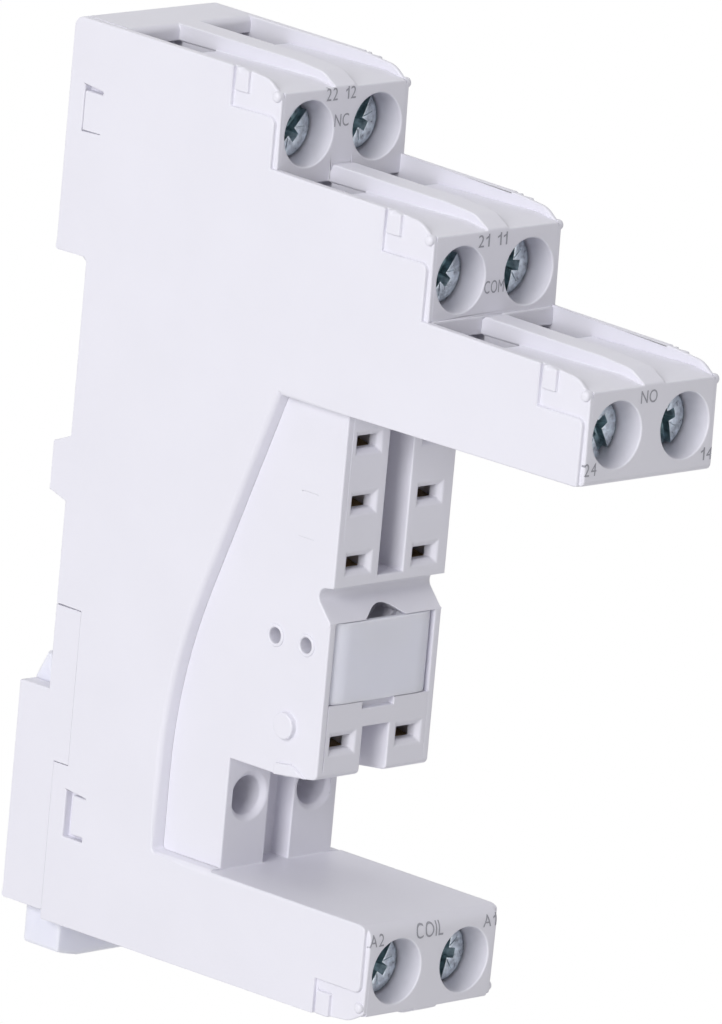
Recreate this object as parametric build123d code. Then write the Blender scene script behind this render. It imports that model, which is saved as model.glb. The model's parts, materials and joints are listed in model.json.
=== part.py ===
"""Relay socket for a 35 mm rail, in millimetres.

X is the width, -Y is the front, +Z is up. The origin lies on the rail seat, at mid width and rail centre.
"""
import math
import os

from build123d import *

os.makedirs("parts", exist_ok=True)

# Overall envelope; the width follows from the relay's pin rows
COVER_T = 0.75
REAR_Y = 3.6
TOP_Z = 37.6
BOTTOM_Z = -37.4

# Rail recess
RAIL_W = 35.0
RAIL_T = 1.0
RAIL_PLAY = 0.6
HOOK_LIP = 1.1
BUMP_OUT = 1.95
BUMP_TOP = 3.2
BUMP_FOOT = -2.3

# Relay base: pin grid of the relay and the face that carries the slots
PIN_ROWS = 7.5
PIN_PITCH = 5.0
COIL_PITCH = 15.0
FIRST_PIN_Z = 9.2
BASE_Y = -30.15
BASE_SIDE = 2.6
STEP_IN = 1.25
BASE_FOOT_Z = -18.65
BASE_WALL = 1.15
SCOOP_Z = -2.75
SCOOP_DEEP = 2.35
SLOT_W = 2.0
SLOT_H = 1.05
FUNNEL = 0.45
SHELL_T = 0.7
GROOVE_W = 2.8
GROOVE_DEEP = 5.0
FOOT_GROOVE_W = 3.0
FOOT_GROOVE_DEEP = 4.0
FOOT_GROOVE_RISE = 1.1
FOOT_SLOPE = 4.65

# Nylon insert in the relay base face
INSERT_T = 1.5
INSERT_Z0 = -12.55
INSERT_Z1 = -5.7
INSERT_FIT = 0.05
INSERT_R = 0.8
CAVITY_R = 1.5
CAVITY_DEEP = 3.4
FINGER_W = 3.5
FINGER_H = 0.6
FINGER_DEEP = 0.5

# Terminals
WELL_SIDE = 0.12
HEAD_SIDE = 0.27
HEAD_H = 1.7
HEAD_DEPTH = 2.3
THREAD_R = 1.5
THREAD_FIT = 0.06
COLLAR_T = 2.1
CAGE_TRAVEL = 2.5
CAGE_SIDE = 0.4
CAGE_PLAY = 0.2
CAGE_H = 4.2
CAGE_WALL = 0.8
CAGE_NUT = 1.8
CAGE_INNER = 6.2
CAGE_BACK = 1.0
CAGE_GAP = 0.25
STRIP_T = 0.8
STRIP_GAP = 0.3
STRIP_SIDE = 0.4
STRIP_FIT = 0.1
STRIP_STEP = 2.65
STRIP_RISE = 1.9
FORK_L = 6.9
FORK_TIP = 0.3
FORK_HALF = 1.1
FORK_LEAF = 0.45
FORK_PINCH = 0.25
WIRE_L = 4.4
WIRE_REAR = 1.3
WIRE_UNDER = 0.8

# Front face depth, screw height and lip height of each tier; the last one opens downwards
TIERS = {
    "nc": (-20.3, 32.45, TOP_Z),
    "com": (-38.6, 24.45, 29.8),
    "no": (-57.1, 16.0, 21.3),
    "coil": (-38.6, -32.7, BOTTOM_Z),
}
LIP_DROP = {1: 1.25, -1: 0.85}
LIP_SLOPE = 0.25
LIP_DIP = 0.35
COVER_FALL = {1: 1.9, -1: 1.45}
RIB_FALL = {1: 1.5, -1: 1.1}
LIP_BEND = 5.0
LIP_NOSE = 1.6
FACE_LEAN = 0.15
RIB_HALF = 1.2
RIB_END_R = 0.45
NO_FOOT_Z = 11.95
SLOT_CUT = 0.9
SLOT_CUT_DEEP = 0.8
SLOT_TURN = {
    "nc": {-1: 45, 1: 62},
    "com": {-1: 50, 1: 84},
    "no": {-1: -58, 1: -72},
    "coil": {-1: 58, 1: 80},
}
BULLNOSE = 0.7
HEAD_BEVEL = 0.15
HEAD_FIT = 0.15
COLLAR_FIT = 0.2

# Lower bay and coil block
MODULE_Y = -20.2
MODULE_TOP_Z = -19.2
MODULE_HOLE_R = 1.65
MODULE_HOLE_DEEP = 4.0
MODULE_HOLE_Z = -22.7
COIL_TOP_Z = -28.6

# Leg and latch
LEG_Y = 3.44
LEG_FOOT_Z = -36.65
LATCH_SIDE = 1.6
LATCH_T = 1.5
LATCH_GAP = 0.1
LATCH_TRAVEL = 2.6
NOSE_H = 2.55
TAB_FOOT_Z = -41.2
TAB_ARC_R = 20.0

# Step between the outer frame and the relay zone of each cover
ARC_R = 45.0
ARC_Y = -13.4
ARC_LEAN = 0.38
ARC_RUN = 9.8
RAMP = 0.15
SLIT = 0.08
SEAM = 0.02

# Joint line between the covers and the leg
STRIP_TOP = -10.95
STRIP_MID = -23.9
STRIP_WIDE = -3.0
STRIP_NARROW = -1.3

# Details of a cover: label recess, snap windows as y and z limits with the gaps round their tongues at
# the front, rear, foot and top, and marks beside the relay base
NOTCH_L = 5.4
NOTCH_DEEP = 0.35
NOTCH_EDGE = 1.5
NOTCH_FRONT = 0.3
TAB_GAP = 0.3
TAB_L = 1.5
TAB_H = 1.95
WINDOWS = [(-0.4, 1.8, 28.4, 32.15), (-5.4, -3.05, -29.9, -26.0)]
TONGUE_GAPS = [(0.03, 0.1, 0.05, 0.45), (0.03, 0.75, 0.35, 0.25)]
TONGUE_INSET = 0.05
SNAP_GAP = 0.1
SNAP_L = 1.8
SNAP_H = 3.8
SNAP_STEP = 2.65
SNAP_Z = 0.7
HOLE_STEPS = (2.45, 6.0)
HOLE_DROP = 7.15
HOLE_R = 0.5
BOSS_STEP = 3.85
BOSS_RISE = 0.85
BOSS_R = 1.1
BOSS_H = 0.35
WEDGE_H = 0.25
WEDGE_L = 3.5
WEDGE_TOP_L = 2.0
WEDGE_RISE = 1.0

PIN_X = PIN_ROWS / 2
BASE_HALF = PIN_X + BASE_SIDE
CORE_HALF = BASE_HALF - SHELL_T
HALF = BASE_HALF + STEP_IN
BODY_HALF = HALF - COVER_T
STRIP_W = 2 * (CORE_HALF - PIN_X - STRIP_SIDE)
CAGE_RIB = PIN_X - STRIP_W / 2 - CAGE_PLAY - CAGE_WALL
CAGE_W = BODY_HALF - CAGE_SIDE - CAGE_RIB
SCREW_X = CAGE_RIB + CAGE_W / 2
WELL_R = CAGE_W / 2 + WELL_SIDE
HEAD_R = WELL_R - HEAD_SIDE
LATCH_W = 2 * (HALF - LATCH_SIDE)
SEAT_HALF = RAIL_W / 2 + RAIL_PLAY
PIN_Z = {
    "no": FIRST_PIN_Z,
    "com": FIRST_PIN_Z - PIN_PITCH,
    "nc": FIRST_PIN_Z - 2 * PIN_PITCH,
    "coil": FIRST_PIN_Z - 2 * PIN_PITCH - COIL_PITCH,
}
HEAD_END = HEAD_DEPTH + HEAD_H
POCKET_START = HEAD_END + HEAD_FIT + COLLAR_T
CAGE_START = POCKET_START + CAGE_GAP + CAGE_TRAVEL
CAGE_END = CAGE_START + CAGE_NUT + CAGE_INNER + CAGE_BACK
POCKET_END = CAGE_END + CAGE_GAP
STRIP_FRONT = CAGE_START + CAGE_NUT + CAGE_TRAVEL
FORK_REAR = BASE_Y + FORK_L
FORK_FRONT = BASE_Y + BASE_WALL + FORK_TIP
STRIP_DROP = {
    "no": FORK_REAR - STRIP_T / 2,
    "com": FORK_REAR + STRIP_STEP,
    "coil": MODULE_Y + MODULE_HOLE_DEEP + STRIP_STEP,
}
TIER_FOOT = {"nc": TIERS["com"][2], "com": TIERS["no"][2], "no": NO_FOOT_Z, "coil": COIL_TOP_Z}
WAY = {"nc": 1, "com": 1, "no": 1, "coil": -1}
SNAP_REAR = BASE_Y + SNAP_STEP
FLUSH_SNAP = (SNAP_REAR, SNAP_REAR + SNAP_L, SNAP_Z, SNAP_Z + SNAP_H)
SIDES = {"left": -1, "right": 1}


def corner_edges(a, b, c, radius):
    """Trim length and arc points of a rounded corner at b."""
    u = Vector(*a) - Vector(*b)
    v = Vector(*c) - Vector(*b)
    u = u.normalized()
    v = v.normalized()
    angle = math.radians(u.get_angle(v))
    trim = radius / math.tan(angle / 2)
    mid = (u + v).normalized()
    reach = radius / math.sin(angle / 2) - radius
    corner = Vector(*b)
    return corner + u * trim, corner + mid * reach, corner + v * trim


def outline(points):
    """Closed face from (a, b) or (a, b, radius) corners."""
    flat = [(p[0], p[1]) for p in points]
    count = len(points)
    edges = []
    first = None
    last = None
    for i, p in enumerate(points):
        if len(p) == 3:
            start, mid, end = corner_edges(flat[i - 1], flat[i], flat[(i + 1) % count], p[2])
        else:
            start = Vector(*flat[i])
            mid = None
            end = start
        if last is not None:
            edges.append(Line(last, start))
        if mid is not None:
            edges.append(ThreePointArc(start, mid, end))
        if first is None:
            first = start
        last = end
    edges.append(Line(last, first))
    return make_face(edges)


def slab(points, x0, x1):
    """Side profile in (y, z) corners, extruded along X."""
    return extrude(Plane.YZ.offset(x0) * outline(points), amount=x1 - x0)


def box(x0, x1, y0, y1, z0, z1):
    """Box from its six limits."""
    size = (abs(x1 - x0), abs(y1 - y0), abs(z1 - z0))
    return Pos((x0 + x1) / 2, (y0 + y1) / 2, (z0 + z1) / 2) * Box(*size)


def rod(x, z, radius, y0, y1):
    """Round bar along Y."""
    return Pos(x, (y0 + y1) / 2, z) * Rot(90, 0, 0) * Cylinder(radius, abs(y1 - y0))


def side_rod(side, y, z, radius, x0, x1):
    """Round bar along X on one side."""
    return Pos(side * (x0 + x1) / 2, y, z) * Rot(0, 90, 0) * Cylinder(radius, abs(x1 - x0))


def side_box(side, x0, x1, y0, y1, z0, z1):
    """Box measured outwards from the middle plane on one side."""
    return box(side * x0, side * x1, y0, y1, z0, z1)


def side_slab(side, points, x0, x1):
    """Profile extruded between two distances from the middle plane on one side."""
    low, high = sorted((side * x0, side * x1))
    return slab(points, low, high)


def lip_points(tier, drop):
    """Lip of one tier, from its rear end to its rounded front end, given the drop to that end."""
    face, _, lip = TIERS[tier]
    fall = WAY[tier] * drop[WAY[tier]]
    return [
        (face + LIP_BEND, lip - 0.18 * fall, 12.0),
        (face + LIP_NOSE, lip - 0.38 * fall, 2.2),
        (face, lip - fall),
    ]


def front_points(rear, drop):
    """Stepped outline from the coil foot up to the top, given the rear points and the lips' drop."""
    nc, com, no = TIERS["nc"], TIERS["com"], TIERS["no"]
    coil = TIERS["coil"]
    points = list(rear)
    points += lip_points("coil", drop)
    points += [
        (coil[0] - FACE_LEAN, COIL_TOP_Z, 1.2),
        (MODULE_Y, COIL_TOP_Z),
        (MODULE_Y, MODULE_TOP_Z),
        (BASE_Y + FOOT_SLOPE, MODULE_TOP_Z),
        (BASE_Y, BASE_FOOT_Z, 0.5),
        (BASE_Y, INSERT_Z1 + 0.05, 0.2),
        (BASE_Y + SCOOP_DEEP, SCOOP_Z - 0.3, 0.75),
        (BASE_Y, SCOOP_Z, 0.15),
        (BASE_Y, NO_FOOT_Z),
        (no[0] - FACE_LEAN, NO_FOOT_Z + 0.1, 0.5),
    ]
    points += reversed(lip_points("no", drop))
    points += [(com[0] - FACE_LEAN, no[2])]
    points += reversed(lip_points("com", drop))
    points += [(nc[0] - FACE_LEAN, com[2])]
    points += reversed(lip_points("nc", drop))
    return points


def rear_top_points():
    """Rear edge from the top corner down to the rail seat bump."""
    return [
        (REAR_Y, TOP_Z, 0.9),
        (REAR_Y, SEAT_HALF, 0.3),
        (0, SEAT_HALF, 0.4),
        (0, BUMP_TOP),
        (BUMP_OUT, BUMP_TOP - 0.8, 0.3),
        (BUMP_OUT, BUMP_FOOT + 0.6, 0.3),
        (0, BUMP_FOOT),
    ]


def cover_points():
    """Side outline of a cover, which stops short of the leg."""
    rear = rear_top_points()
    rear += [
        (0, STRIP_TOP + SLIT),
        (STRIP_WIDE - SEAM, STRIP_TOP + SLIT),
        (STRIP_WIDE - SEAM, STRIP_MID - SLIT),
        (STRIP_NARROW - SEAM, STRIP_MID - SLIT),
        (STRIP_NARROW - SEAM, BOTTOM_Z),
    ]
    return front_points(rear, COVER_FALL)


def body_points():
    """Side outline of the body between the covers."""
    rear = rear_top_points()
    rear += [(0, -SEAT_HALF), (0, LEG_FOOT_Z)]
    return front_points(rear, RIB_FALL)


def relay_zone(inset=0.0):
    """Stepped-in zone beside the relay, bounded at the rear by a line running into a large arc."""
    back = ARC_Y - inset
    top_y = ARC_Y - ARC_RUN - inset * math.hypot(1, ARC_LEAN)
    foot = COIL_TOP_Z + inset
    return [
        (top_y, NO_FOOT_Z),
        (back, NO_FOOT_Z - (back - top_y) / ARC_LEAN, ARC_R - inset),
        (back, foot, 0.5),
        (BASE_Y - 3, foot),
        (BASE_Y - 3, NO_FOOT_Z),
    ]


def thick_path(points, half):
    """Boxes around a path of axis-parallel legs, as (y0, y1, z0, z1)."""
    legs = []
    for (ya, za), (yb, zb) in zip(points, points[1:]):
        legs.append((min(ya, yb) - half, max(ya, yb) + half, min(za, zb) - half, max(za, zb) + half))
    return legs


def strip_path(tier):
    """Centre line of a contact strip, from its terminal to the rear of its fork."""
    face, screw, _ = TIERS[tier]
    way = WAY[tier]
    plate = face + STRIP_FRONT + STRIP_T / 2
    start = screw + way * STRIP_RISE
    turn = screw - way * (CAGE_H / 2 + CAGE_GAP + STRIP_T / 2)
    pin = PIN_Z[tier]
    path = [(plate, start), (plate, pin)]
    if tier in STRIP_DROP:
        drop = STRIP_DROP[tier]
        path = [(plate, start), (plate, turn), (drop, turn), (drop, pin)]
    if tier != "no":
        path.append((FORK_REAR - STRIP_T / 2, pin))
    return path


def contact(tier, side):
    """Bent strip with a terminal plate at one end and a two-leaf fork behind its slot."""
    x0 = PIN_X - STRIP_W / 2
    x1 = PIN_X + STRIP_W / 2
    pin = PIN_Z[tier]
    bend = FORK_FRONT + FORK_HALF
    waist = FORK_HALF - FORK_PINCH
    root = FORK_REAR - STRIP_T
    upper = [
        (FORK_REAR, FORK_HALF),
        (bend, waist),
        (FORK_FRONT, FORK_HALF),
        (FORK_FRONT, FORK_HALF - FORK_LEAF),
        (bend, waist - FORK_LEAF),
        (root, FORK_HALF - FORK_LEAF),
    ]
    fork = [(y, pin + z) for y, z in upper]
    fork += [(y, pin - z) for y, z in reversed(upper)]
    solid = side_slab(side, fork, x0, x1)
    for y0, y1, z0, z1 in thick_path(strip_path(tier), STRIP_T / 2):
        solid += side_box(side, x0, x1, y0, y1, z0, z1)
    return solid


def contact_room(tier, side):
    """Space that a contact strip takes in the body, open to the side."""
    x0 = PIN_X - STRIP_W / 2 - STRIP_FIT
    pin = PIN_Z[tier]
    half = FORK_HALF + STRIP_SIDE
    room = side_box(side, x0, HALF + 1, BASE_Y + BASE_WALL, FORK_REAR + STRIP_GAP, pin - half, pin + half)
    for y0, y1, z0, z1 in thick_path(strip_path(tier), STRIP_T / 2 + STRIP_FIT):
        room += side_box(side, x0, HALF + 1, y0, y1, z0, z1)
    return room


def hex_rod(x, z, radius, y0, y1):
    """Six-sided bar along Y around a round one of the given radius."""
    return Pos(x, y0, z) * Rot(-90, 0, 0) * extrude(RegularPolygon(radius, 6, major_radius=False), y1 - y0)


def cage(tier, side):
    """Clamp cage: a box open upwards and downwards, tapped at the front for the screw."""
    face, screw, _ = TIERS[tier]
    y0 = face + CAGE_START
    y1 = face + CAGE_END
    x0 = SCREW_X - CAGE_W / 2
    x1 = SCREW_X + CAGE_W / 2
    z0 = screw - CAGE_H / 2
    z1 = screw + CAGE_H / 2
    solid = side_box(side, x0, x1, y0, y1, z0, z1)
    solid -= side_box(side, x0 + CAGE_WALL, x1 - CAGE_WALL, y0 + CAGE_NUT, y1 - CAGE_BACK, z0 - 1, z1 + 1)
    solid -= hex_rod(side * SCREW_X, screw, THREAD_R + THREAD_FIT, y0 - 1, y0 + CAGE_NUT + 0.5)
    return solid


def screw(tier, side):
    """Terminal screw: bevelled head with a slot, and a threaded shank."""
    face, height, _ = TIERS[tier]
    x = side * SCREW_X
    top = face + HEAD_DEPTH
    head = rod(x, height, HEAD_R, top, face + HEAD_END)
    head = chamfer(head.edges().sort_by(Axis.Y)[0], HEAD_BEVEL)
    slot = Box(2 * WELL_R, 2 * SLOT_CUT_DEEP, SLOT_CUT)
    head -= Pos(x, top, height) * Rot(0, -SLOT_TURN[tier][side], 0) * slot
    return head + rod(x, height, THREAD_R, face + HEAD_END, face + STRIP_FRONT - THREAD_FIT)


def terminal_room(tier, side):
    """Well, collar hole, cage room and wire entry of one terminal."""
    face, height, lip = TIERS[tier]
    x = side * SCREW_X
    way = WAY[tier]
    room = rod(x, height, WELL_R, face - 2, face + HEAD_END + HEAD_FIT)
    room += hex_rod(x, height, THREAD_R + COLLAR_FIT, face, face + POCKET_START + 1)
    inner = SCREW_X - CAGE_W / 2 - CAGE_GAP
    half = CAGE_H / 2 + CAGE_GAP
    y0 = face + POCKET_START
    room += side_box(side, inner, HALF + 1, y0, face + POCKET_END, height - half, height + half)
    rear = face + POCKET_END - SLIT
    wire = face + POCKET_END - WIRE_L
    floor = lip - way * (LIP_DROP[way] + LIP_SLOPE)
    room += side_box(side, RIB_HALF, HALF + 1, wire, rear, height, lip)
    room += side_box(side, inner, HALF + 1, wire, rear, height, floor)
    room += side_box(side, RIB_HALF - WIRE_UNDER, HALF + 1, rear - SLIT, rear + WIRE_REAR, height, floor)
    return room


def lip_room(tier, side):
    """Wire channel on the tier, between the middle rib and the cover's lip."""
    face, _, lip = TIERS[tier]
    way = WAY[tier]
    rear = face + POCKET_END - SLIT
    floor = lip - way * LIP_DROP[way]
    points = [(rear, floor - way * LIP_SLOPE)]
    if abs(lip) > max(TOP_Z, -BOTTOM_Z) - 1:
        points += [(rear, lip, BULLNOSE), (rear + 2 * BULLNOSE, lip), (rear + 2 * BULLNOSE, lip + way * 3)]
    else:
        points += [(rear, lip + way * 3)]
    points += [
        (face - 3, lip + way * 3),
        (face - 3, floor - way * LIP_DIP),
        (face + 0.2, floor - way * LIP_DIP, 1.2),
        (face + 2.5, floor),
    ]
    return side_slab(side, points, RIB_HALF, HALF + 1)


def rib_end_room(tier, upper):
    """Notch over the rounded rear end of a middle rib, in front of the tier above it."""
    lip = TIERS[tier][2]
    rear = TIERS[upper][0] - FACE_LEAN - SLIT / 2
    points = [
        (rear, lip + RIB_END_R),
        (rear - 2 * RIB_END_R, lip + RIB_END_R),
        (rear - 2 * RIB_END_R, lip),
        (rear - SLIT, lip, RIB_END_R),
        (rear - SLIT, lip - 1.2 * RIB_END_R),
        (rear, lip - 1.2 * RIB_END_R),
    ]
    return slab(points, -RIB_HALF, RIB_HALF)


def base_cuts():
    """Slots with funnels, middle grooves and the insert seat in the relay base face."""
    front = BASE_Y - 1
    half = GROOVE_W / 2
    foot = FOOT_GROOVE_W / 2
    foot_z = PIN_Z["coil"] + FOOT_GROOVE_RISE
    groove_z = SCOOP_Z + SHELL_T
    cuts = box(-half, half, front, BASE_Y + GROOVE_DEEP, groove_z, NO_FOOT_Z - STRIP_SIDE)
    cuts += box(-foot, foot, front, BASE_Y + FOOT_GROOVE_DEEP, BASE_FOOT_Z - 2, foot_z)
    cuts += box(-HALF, HALF, front, BASE_Y + INSERT_T, INSERT_Z0, INSERT_Z1)
    cuts += rod(0, INSERT_Z1 - 0.1, CAVITY_R, front, BASE_Y + CAVITY_DEEP)
    finger = FINGER_W / 2
    cuts += box(-finger, finger, front, BASE_Y + FINGER_DEEP, INSERT_Z0 - FINGER_H, INSERT_Z0 + 0.2)
    for side in SIDES.values():
        for pin in PIN_Z.values():
            x = side * PIN_X
            w, h = SLOT_W / 2, SLOT_H / 2
            cuts += box(x - w, x + w, front, BASE_Y + BASE_WALL + 0.2, pin - h, pin + h)
            mouth = Rectangle(SLOT_W + 2 * FUNNEL, SLOT_H + 2 * FUNNEL)
            throat = Rectangle(SLOT_W, SLOT_H)
            plane = Plane(origin=(x, BASE_Y, pin), x_dir=(1, 0, 0), z_dir=(0, 1, 0))
            cuts += loft([plane * mouth, plane.offset(2 * FUNNEL) * throat])
    return cuts


def bay_cuts():
    """Blind module holes and the groove between them."""
    half = GROOVE_W / 2
    cuts = box(-half, half, MODULE_Y - 1, MODULE_Y + MODULE_HOLE_DEEP / 2, COIL_TOP_Z, MODULE_TOP_Z)
    for side in SIDES.values():
        x = side * PIN_X
        cuts += rod(x, MODULE_HOLE_Z, MODULE_HOLE_R, MODULE_Y - 1, MODULE_Y + MODULE_HOLE_DEEP)
        mouth = Plane(origin=(x, MODULE_Y, MODULE_HOLE_Z), x_dir=(1, 0, 0), z_dir=(0, 1, 0))
        cuts += loft([mouth * Circle(MODULE_HOLE_R + 0.4), mouth.offset(0.4) * Circle(MODULE_HOLE_R)])
    return cuts


def latch_room():
    """Guide for the latch in the leg, open at the rear between two lips."""
    half = LATCH_W / 2 + LATCH_GAP
    front = RAIL_T
    lip = front + LATCH_T + 2 * LATCH_GAP
    low = LEG_FOOT_Z - 2
    high = -SEAT_HALF + 0.5
    room = box(-half, half, front, lip, low, high)
    room += box(-half + 0.9, half - 0.9, front, LEG_Y + 1, low, high)
    room += box(-half, half, front, LEG_Y + 1, -SEAT_HALF - 0.6 - LATCH_TRAVEL - 0.5, high)
    return room


def rail_latch():
    """Slider with a wedge nose behind the rail's lower edge and a pull tab under the leg."""
    half = LATCH_W / 2
    front = RAIL_T + LATCH_GAP
    rear = front + LATCH_T
    top = -SEAT_HALF + NOSE_H
    tab_top = LEG_FOOT_Z - LATCH_GAP
    points = [
        (front, -SEAT_HALF - 0.2),
        (front + 0.25, -SEAT_HALF + 0.3),
        (front + 0.6, top, 0.2),
        (front + 0.95, top, 0.2),
        (LEG_Y - 0.1, -SEAT_HALF + 0.1),
        (LEG_Y - 0.1, -SEAT_HALF - 0.6),
        (rear, -SEAT_HALF - 0.6),
        (rear, tab_top),
        (2.15, tab_top - 0.4),
        (2.15, TAB_FOOT_Z, 0.8),
        (-2.0, TAB_FOOT_Z + 0.3, 0.6),
        (-2.0, tab_top, 0.3),
        (front, tab_top),
    ]
    below = box(-half - 1, half + 1, -2.1, LEG_Y, TAB_FOOT_Z - 1, tab_top)
    return slab(points, -half, half) - (below - rod(0, TAB_FOOT_Z + TAB_ARC_R, TAB_ARC_R, -3, LEG_Y + 1))


def main_body():
    """Central moulding with the terminal tiers, relay base, rail recess and leg."""
    solid = slab(body_points(), -BODY_HALF, BODY_HALF)
    leg = [
        (0, STRIP_TOP),
        (0, -SEAT_HALF),
        (LEG_Y, -SEAT_HALF, 0.3),
        (LEG_Y, LEG_FOOT_Z, 0.3),
        (STRIP_NARROW, LEG_FOOT_Z),
        (STRIP_NARROW, STRIP_MID),
        (STRIP_WIDE, STRIP_MID),
        (STRIP_WIDE, STRIP_TOP),
    ]
    solid += slab(leg, -HALF, HALF)
    hook = [
        (RAIL_T + 0.4, SEAT_HALF),
        (RAIL_T + 0.4, SEAT_HALF - HOOK_LIP),
        (RAIL_T + 1.2, SEAT_HALF - HOOK_LIP),
        (REAR_Y, SEAT_HALF),
    ]
    solid += slab(hook, -BODY_HALF + 1.5, BODY_HALF - 1.5)
    for side in SIDES.values():
        solid -= side_slab(side, relay_zone(), CORE_HALF, HALF + 1)
        for tier in TIERS:
            solid -= lip_room(tier, side)
            solid -= terminal_room(tier, side)
            solid -= contact_room(tier, side)
        for (y0, y1, z0, z1), (front, rear, foot, top) in zip(WINDOWS, TONGUE_GAPS):
            y = (y0 + front, y1 - rear)
            solid += side_box(side, BODY_HALF - 0.5, HALF - TONGUE_INSET, *y, z0 + foot, z1 - top)
        y0, y1, z0, z1 = FLUSH_SNAP
        solid += side_box(side, CORE_HALF - 0.4, BASE_HALF, y0, y1, z0 + SNAP_GAP, z1 - SNAP_GAP)
    solid -= rib_end_room("com", "nc") + rib_end_room("no", "com")
    return solid - base_cuts() - bay_cuts() - latch_room()


def notch_room(tier, side):
    """Shallow label recess at the front corner of a cover beside one tier."""
    face, height, lip = TIERS[tier]
    way = WAY[tier]
    edge = height + way * NOTCH_EDGE
    rear = face + NOTCH_L
    points = [
        (rear, lip + way * 2),
        (rear, edge),
        (face + NOTCH_FRONT, edge, 0.6),
        (face + NOTCH_FRONT, TIER_FOOT[tier]),
        (face - 3, TIER_FOOT[tier]),
        (face - 3, lip + way * 2),
    ]
    room = side_slab(side, points, HALF - NOTCH_DEEP, HALF + 1)
    tab = (rear - TAB_GAP - TAB_L, rear - TAB_GAP)
    top = lip - way * NOTCH_DEEP
    return room - side_box(side, HALF - 2, HALF, *tab, top - way * TAB_H, top)


def side_cover(side):
    """Thin shell with the stepped-in relay zone, label recesses, snap windows and small bosses."""
    zone = relay_zone()
    solid = side_slab(side, cover_points(), BODY_HALF, HALF)
    solid += side_slab(side, cover_points(), CORE_HALF, HALF) & side_slab(side, zone, CORE_HALF, HALF)
    deep = HALF - BASE_HALF
    face = Plane.YZ.offset(side * HALF) * outline(zone)
    lean = math.degrees(math.atan(RAMP / deep))
    solid -= extrude(face, amount=deep, dir=(-side, 0, 0), taper=lean)
    solid -= side_slab(side, relay_zone(RAMP), BASE_HALF, HALF + 1)
    for tier in TIERS:
        solid -= notch_room(tier, side)
    for y0, y1, z0, z1 in WINDOWS:
        solid -= side_box(side, BODY_HALF - 1, HALF + 1, y0, y1, z0, z1)
    y0, y1, z0, z1 = FLUSH_SNAP
    solid -= side_box(side, CORE_HALF - 1, HALF + 1, y0, y1, z0, z1)
    for step in HOLE_STEPS:
        solid -= side_rod(side, BASE_Y + step, PIN_Z["nc"] - HOLE_DROP, HOLE_R, CORE_HALF - 1, HALF)
    boss_z = PIN_Z["coil"] + BOSS_RISE
    solid += side_rod(side, BASE_Y + BOSS_STEP, boss_z, BOSS_R, BASE_HALF - 0.1, BASE_HALF + BOSS_H)
    rear = BASE_Y + FOOT_SLOPE + 0.1
    wedge = [
        (rear, MODULE_TOP_Z),
        (rear, MODULE_TOP_Z + WEDGE_RISE, 0.3),
        (rear - WEDGE_TOP_L, MODULE_TOP_Z + WEDGE_RISE + 0.2, 1.0),
        (rear - WEDGE_L, BASE_FOOT_Z - 0.15),
    ]
    return solid + side_slab(side, wedge, BASE_HALF - 0.2, BASE_HALF + WEDGE_H)


def insert_block():
    """Nylon block set into the relay base face, between the covers."""
    half = CORE_HALF - INSERT_FIT
    z0 = INSERT_Z0 + INSERT_FIT
    z1 = INSERT_Z1 - INSERT_FIT
    solid = box(-half, half, BASE_Y - 0.1, BASE_Y + INSERT_T, z0, z1)
    rim = solid.edges().filter_by(Axis.Z).group_by(Axis.Y)[0]
    return fillet(rim, INSERT_R)


def main():
    """Build every piece and write it to its own file."""
    pieces = {"main_body": main_body(), "rail_latch": rail_latch(), "insert_block": insert_block()}
    for name, side in SIDES.items():
        pieces[f"{name}_cover"] = side_cover(side)
        for tier in TIERS:
            pieces[f"{tier}_{name}_screw"] = screw(tier, side)
            pieces[f"{tier}_{name}_cage"] = cage(tier, side)
            pieces[f"{tier}_{name}_contact"] = contact(tier, side)
    for name, solid in pieces.items():
        export_step(solid, f"parts/{name}.step")


main()
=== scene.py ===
"""Relay socket for a 35 mm rail: soft edges, screws, print, finishes and a plain studio.

X is the width, -Y is the front and +Z is up. Sizes are in millimetres unless a name ends in _m.
"""

import json
import logging
import math
from dataclasses import dataclass, field
from enum import Enum

import bmesh
import bpy
from mathutils import Matrix, Vector
from mathutils.bvhtree import BVHTree

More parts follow.
